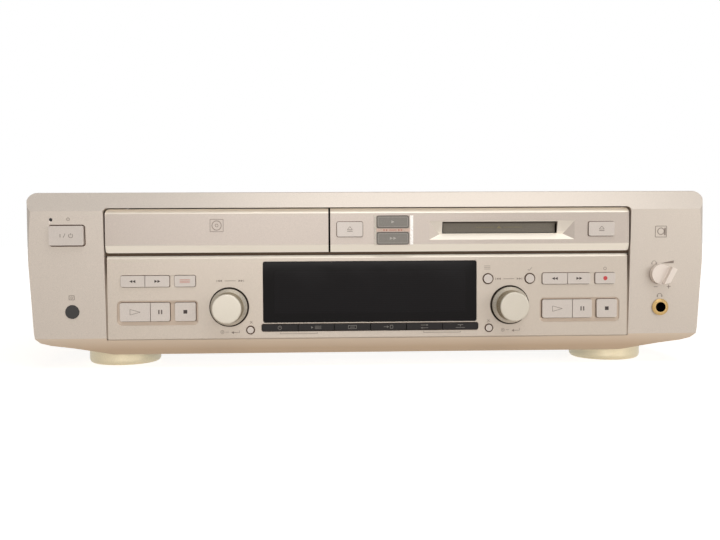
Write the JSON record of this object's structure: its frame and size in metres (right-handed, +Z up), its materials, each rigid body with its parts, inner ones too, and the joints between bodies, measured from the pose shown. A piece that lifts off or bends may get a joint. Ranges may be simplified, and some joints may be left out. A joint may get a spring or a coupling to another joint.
{
  "type": "minidisc deck",
  "caption": "Full-width hi-fi deck with a sliding disc tray, a cartridge slot behind a flap, press keys, two turn and push dials, a level knob and a dark display window.",
  "frame": {"origin": "centre of the bounding box on the floor plane", "axes": "+X to the viewer's right along the front, -Y out of the front, +Z up"},
  "size_m": [0.4298, 0.285, 0.1123],
  "materials": {
    "top_cover": "satin champagne paint",
    "bottom_chassis": "plain zinc-coated sheet",
    "rear_panel": "matt grey paint",
    "front_panel": "satin champagne paint on plastic",
    "control_panel": "satin champagne paint on plastic",
    "md_panel": "satin champagne paint on plastic",
    "display_window": "glossy smoked acrylic",
    "front_lenses": "dark smoked lens",
    "feet": "satin gold plastic",
    "case_screws": "blackened steel",
    "power_transformer": "laminated iron core with a taped winding",
    "main_board": "green lacquered board",
    "control_board": "green lacquered board",
    "rear_jacks": "black moulding",
    "power_gland": "black moulding",
    "phones_jack": "gold-plated ring",
    "cd_frame": "black moulding with steel rods",
    "md_frame": "plain pressed sheet",
    "power_key": "satin champagne paint on plastic",
    "cd_reverse_key": "satin champagne paint on plastic",
    "cd_forward_key": "satin champagne paint on plastic",
    "cd_mode_key": "satin champagne paint on plastic",
    "cd_play_key": "satin champagne paint on plastic",
    "cd_pause_key": "satin champagne paint on plastic",
    "cd_stop_key": "satin champagne paint on plastic",
    "cd_clear_key": "satin champagne paint on plastic",
    "strip_key_1": "matt dark grey paint",
    "strip_key_2": "matt dark grey paint",
    "strip_key_3": "matt dark grey paint",
    "strip_key_4": "matt dark grey paint",
    "strip_key_5": "matt dark grey paint",
    "strip_key_6": "matt dark grey paint",
    "md_menu_key": "satin champagne paint on plastic",
    "md_yes_key": "satin champagne paint on plastic",
    "md_reverse_key": "satin champagne paint on plastic",
    "md_forward_key": "satin champagne paint on plastic",
    "md_record_key": "satin champagne paint on plastic",
    "md_play_key": "satin champagne paint on plastic",
    "md_pause_key": "satin champagne paint on plastic",
    "md_stop_key": "satin champagne paint on plastic",
    "md_clear_key": "satin champagne paint on plastic",
    "open_close_key": "satin champagne paint on plastic",
    "sync_upper_key": "matt dark grey paint",
    "sync_lower_key": "matt dark grey paint",
    "eject_key": "satin champagne paint on plastic",
    "cd_dial_shaft": "turned rod",
    "cd_dial": "satin champagne paint",
    "md_dial_shaft": "turned rod",
    "md_dial": "satin champagne paint",
    "level_knob": "satin champagne paint",
    "cd_tray": "matt black moulding",
    "cd_tray_front": "satin champagne paint on plastic",
    "cd_loading_gear": "natural acetal",
    "cd_turntable": "black moulding",
    "cd_sled": "die-cast",
    "cd_clamper": "black moulding",
    "slot_flap": "matt dark grey",
    "md_holder": "plain pressed sheet",
    "md_turntable": "black moulding",
    "md_sled": "die-cast"
  },
  "bodies": {
    "case": {"top_cover": "top_cover", "bottom_chassis": "bottom_chassis", "rear_panel": "rear_panel", "front_panel": "front_panel", "control_panel": "control_panel", "md_panel": "md_panel", "display_window": "display_window", "front_lenses": "front_lenses", "feet": "feet", "case_screws": "case_screws", "power_transformer": "power_transformer", "main_board": "main_board", "control_board": "control_board", "rear_jacks": "rear_jacks", "power_gland": "power_gland", "phones_jack": "phones_jack", "cd_frame": "cd_frame", "md_frame": "md_frame"},
    "power_key": {"power_key": "power_key"},
    "cd_reverse_key": {"cd_reverse_key": "cd_reverse_key"},
    "cd_forward_key": {"cd_forward_key": "cd_forward_key"},
    "cd_mode_key": {"cd_mode_key": "cd_mode_key"},
    "cd_play_key": {"cd_play_key": "cd_play_key"},
    "cd_pause_key": {"cd_pause_key": "cd_pause_key"},
    "cd_stop_key": {"cd_stop_key": "cd_stop_key"},
    "cd_clear_key": {"cd_clear_key": "cd_clear_key"},
    "strip_key_1": {"strip_key_1": "strip_key_1"},
    "strip_key_2": {"strip_key_2": "strip_key_2"},
    "strip_key_3": {"strip_key_3": "strip_key_3"},
    "strip_key_4": {"strip_key_4": "strip_key_4"},
    "strip_key_5": {"strip_key_5": "strip_key_5"},
    "strip_key_6": {"strip_key_6": "strip_key_6"},
    "md_menu_key": {"md_menu_key": "md_menu_key"},
    "md_yes_key": {"md_yes_key": "md_yes_key"},
    "md_reverse_key": {"md_reverse_key": "md_reverse_key"},
    "md_forward_key": {"md_forward_key": "md_forward_key"},
    "md_record_key": {"md_record_key": "md_record_key"},
    "md_play_key": {"md_play_key": "md_play_key"},
    "md_pause_key": {"md_pause_key": "md_pause_key"},
    "md_stop_key": {"md_stop_key": "md_stop_key"},
    "md_clear_key": {"md_clear_key": "md_clear_key"},
    "open_close_key": {"open_close_key": "open_close_key"},
    "sync_upper_key": {"sync_upper_key": "sync_upper_key"},
    "sync_lower_key": {"sync_lower_key": "sync_lower_key"},
    "eject_key": {"eject_key": "eject_key"},
    "cd_dial_shaft": {"cd_dial_shaft": "cd_dial_shaft"},
    "cd_dial": {"cd_dial": "cd_dial"},
    "md_dial_shaft": {"md_dial_shaft": "md_dial_shaft"},
    "md_dial": {"md_dial": "md_dial"},
    "level_knob": {"level_knob": "level_knob"},
    "cd_tray": {"cd_tray": "cd_tray", "cd_tray_front": "cd_tray_front"},
    "cd_loading_gear": {"cd_loading_gear": "cd_loading_gear"},
    "cd_turntable": {"cd_turntable": "cd_turntable"},
    "cd_sled": {"cd_sled": "cd_sled"},
    "cd_clamper": {"cd_clamper": "cd_clamper"},
    "slot_flap": {"slot_flap": "slot_flap"},
    "md_holder": {"md_holder": "md_holder"},
    "md_turntable": {"md_turntable": "md_turntable"},
    "md_sled": {"md_sled": "md_sled"}
  },
  "joints": [
    {"name": "cd_tray_slide", "type": "slide", "parent": "case", "child": "cd_tray", "axis": [0, -1, 0], "range_m": [0, 0.138]},
    {"name": "cd_loading_gear_turn", "type": "hinge", "parent": "case", "child": "cd_loading_gear", "pos_m": [-0.14175, -0.098, 0.082], "axis": [0, 0, 1], "range_deg": [0, 754]},
    {"name": "cd_sled_slide", "type": "slide", "parent": "case", "child": "cd_sled", "axis": [0, 1, 0], "range_m": [0, 0.033]},
    {"name": "cd_clamper_turn", "type": "hinge", "parent": "case", "child": "cd_clamper", "pos_m": [-0.09625, -0.053, 0.095], "axis": [0, 0, 1], "continuous": true},
    {"name": "cd_turntable_turn", "type": "hinge", "parent": "case", "child": "cd_turntable", "pos_m": [-0.09625, -0.053, 0.088], "axis": [0, 0, 1], "continuous": true},
    {"name": "slot_flap_swing", "type": "hinge", "parent": "case", "child": "slot_flap", "pos_m": [0.083, -0.1235, 0.0922], "axis": [1, 0, 0], "range_deg": [0, 78], "stiffness_Nm_per_rad": 0.004, "springref_deg": -11.46},
    {"name": "md_holder_drop", "type": "slide", "parent": "case", "child": "md_holder", "axis": [0, 0, -1], "range_m": [0, 0.005]},
    {"name": "md_turntable_turn", "type": "hinge", "parent": "case", "child": "md_turntable", "pos_m": [0.083, -0.065, 0.08], "axis": [0, 0, 1], "continuous": true},
    {"name": "md_sled_slide", "type": "slide", "parent": "case", "child": "md_sled", "axis": [0, 1, 0], "range_m": [0, 0.016]},
    {"name": "level_knob_turn", "type": "hinge", "parent": "case", "child": "level_knob", "pos_m": [0.1861, -0.128, 0.0587], "axis": [0, 1, 0], "range_deg": [-178, 122]},
    {"name": "cd_dial_push", "type": "slide", "parent": "case", "child": "cd_dial_shaft", "axis": [0, 1, 0], "range_m": [0, 0.0008], "stiffness_N_per_m": 600},
    {"name": "cd_dial_turn", "type": "hinge", "parent": "cd_dial_shaft", "child": "cd_dial", "pos_m": [-0.0895, -0.135, 0.0396], "axis": [0, 1, 0], "continuous": true},
    {"name": "md_dial_push", "type": "slide", "parent": "case", "child": "md_dial_shaft", "axis": [0, 1, 0], "range_m": [0, 0.0008], "stiffness_N_per_m": 600},
    {"name": "md_dial_turn", "type": "hinge", "parent": "md_dial_shaft", "child": "md_dial", "pos_m": [0.0895, -0.135, 0.0396], "axis": [0, 1, 0], "continuous": true},
    {"name": "power_key_press", "type": "slide", "parent": "case", "child": "power_key", "axis": [0, 1, 0], "range_m": [0, 0.0008], "stiffness_N_per_m": 400},
    {"name": "cd_reverse_key_press", "type": "slide", "parent": "case", "child": "cd_reverse_key", "axis": [0, 1, 0], "range_m": [0, 0.0008], "stiffness_N_per_m": 400},
    {"name": "cd_forward_key_press", "type": "slide", "parent": "case", "child": "cd_forward_key", "axis": [0, 1, 0], "range_m": [0, 0.0008], "stiffness_N_per_m": 400},
    {"name": "cd_mode_key_press", "type": "slide", "parent": "case", "child": "cd_mode_key", "axis": [0, 1, 0], "range_m": [0, 0.0008], "stiffness_N_per_m": 400},
    {"name": "cd_play_key_press", "type": "slide", "parent": "case", "child": "cd_play_key", "axis": [0, 1, 0], "range_m": [0, 0.0008], "stiffness_N_per_m": 400},
    {"name": "cd_pause_key_press", "type": "slide", "parent": "case", "child": "cd_pause_key", "axis": [0, 1, 0], "range_m": [0, 0.0008], "stiffness_N_per_m": 400},
    {"name": "cd_stop_key_press", "type": "slide", "parent": "case", "child": "cd_stop_key", "axis": [0, 1, 0], "range_m": [0, 0.0008], "stiffness_N_per_m": 400},
    {"name": "cd_clear_key_press", "type": "slide", "parent": "case", "child": "cd_clear_key", "axis": [0, 1, 0], "range_m": [0, 0.0008], "stiffness_N_per_m": 400},
    {"name": "strip_key_1_press", "type": "slide", "parent": "case", "child": "strip_key_1", "axis": [0, 1, 0], "range_m": [0, 0.0008], "stiffness_N_per_m": 400},
    {"name": "strip_key_2_press", "type": "slide", "parent": "case", "child": "strip_key_2", "axis": [0, 1, 0], "range_m": [0, 0.0008], "stiffness_N_per_m": 400},
    {"name": "strip_key_3_press", "type": "slide", "parent": "case", "child": "strip_key_3", "axis": [0, 1, 0], "range_m": [0, 0.0008], "stiffness_N_per_m": 400},
    {"name": "strip_key_4_press", "type": "slide", "parent": "case", "child": "strip_key_4", "axis": [0, 1, 0], "range_m": [0, 0.0008], "stiffness_N_per_m": 400},
    {"name": "strip_key_5_press", "type": "slide", "parent": "case", "child": "strip_key_5", "axis": [0, 1, 0], "range_m": [0, 0.0008], "stiffness_N_per_m": 400},
    {"name": "strip_key_6_press", "type": "slide", "parent": "case", "child": "strip_key_6", "axis": [0, 1, 0], "range_m": [0, 0.0008], "stiffness_N_per_m": 400},
    {"name": "md_menu_key_press", "type": "slide", "parent": "case", "child": "md_menu_key", "axis": [0, 1, 0], "range_m": [0, 0.0008], "stiffness_N_per_m": 400},
    {"name": "md_yes_key_press", "type": "slide", "parent": "case", "child": "md_yes_key", "axis": [0, 1, 0], "range_m": [0, 0.0008], "stiffness_N_per_m": 400},
    {"name": "md_reverse_key_press", "type": "slide", "parent": "case", "child": "md_reverse_key", "axis": [0, 1, 0], "range_m": [0, 0.0008], "stiffness_N_per_m": 400},
    {"name": "md_forward_key_press", "type": "slide", "parent": "case", "child": "md_forward_key", "axis": [0, 1, 0], "range_m": [0, 0.0008], "stiffness_N_per_m": 400},
    {"name": "md_record_key_press", "type": "slide", "parent": "case", "child": "md_record_key", "axis": [0, 1, 0], "range_m": [0, 0.0008], "stiffness_N_per_m": 400},
    {"name": "md_play_key_press", "type": "slide", "parent": "case", "child": "md_play_key", "axis": [0, 1, 0], "range_m": [0, 0.0008], "stiffness_N_per_m": 400},
    {"name": "md_pause_key_press", "type": "slide", "parent": "case", "child": "md_pause_key", "axis": [0, 1, 0], "range_m": [0, 0.0008], "stiffness_N_per_m": 400},
    {"name": "md_stop_key_press", "type": "slide", "parent": "case", "child": "md_stop_key", "axis": [0, 1, 0], "range_m": [0, 0.0008], "stiffness_N_per_m": 400},
    {"name": "md_clear_key_press", "type": "slide", "parent": "case", "child": "md_clear_key", "axis": [0, 1, 0], "range_m": [0, 0.0008], "stiffness_N_per_m": 400},
    {"name": "open_close_key_press", "type": "slide", "parent": "case", "child": "open_close_key", "axis": [0, 1, 0], "range_m": [0, 0.0008], "stiffness_N_per_m": 400},
    {"name": "sync_upper_key_press", "type": "slide", "parent": "case", "child": "sync_upper_key", "axis": [0, 1, 0], "range_m": [0, 0.0008], "stiffness_N_per_m": 400},
    {"name": "sync_lower_key_press", "type": "slide", "parent": "case", "child": "sync_lower_key", "axis": [0, 1, 0], "range_m": [0, 0.0008], "stiffness_N_per_m": 400},
    {"name": "eject_key_press", "type": "slide", "parent": "case", "child": "eject_key", "axis": [0, 1, 0], "range_m": [0, 0.0008], "stiffness_N_per_m": 400}
  ],
  "couplings": [
    {"joint": "cd_loading_gear_turn", "follows": "cd_tray_slide", "rad_per_m": 95.238}
  ]
}
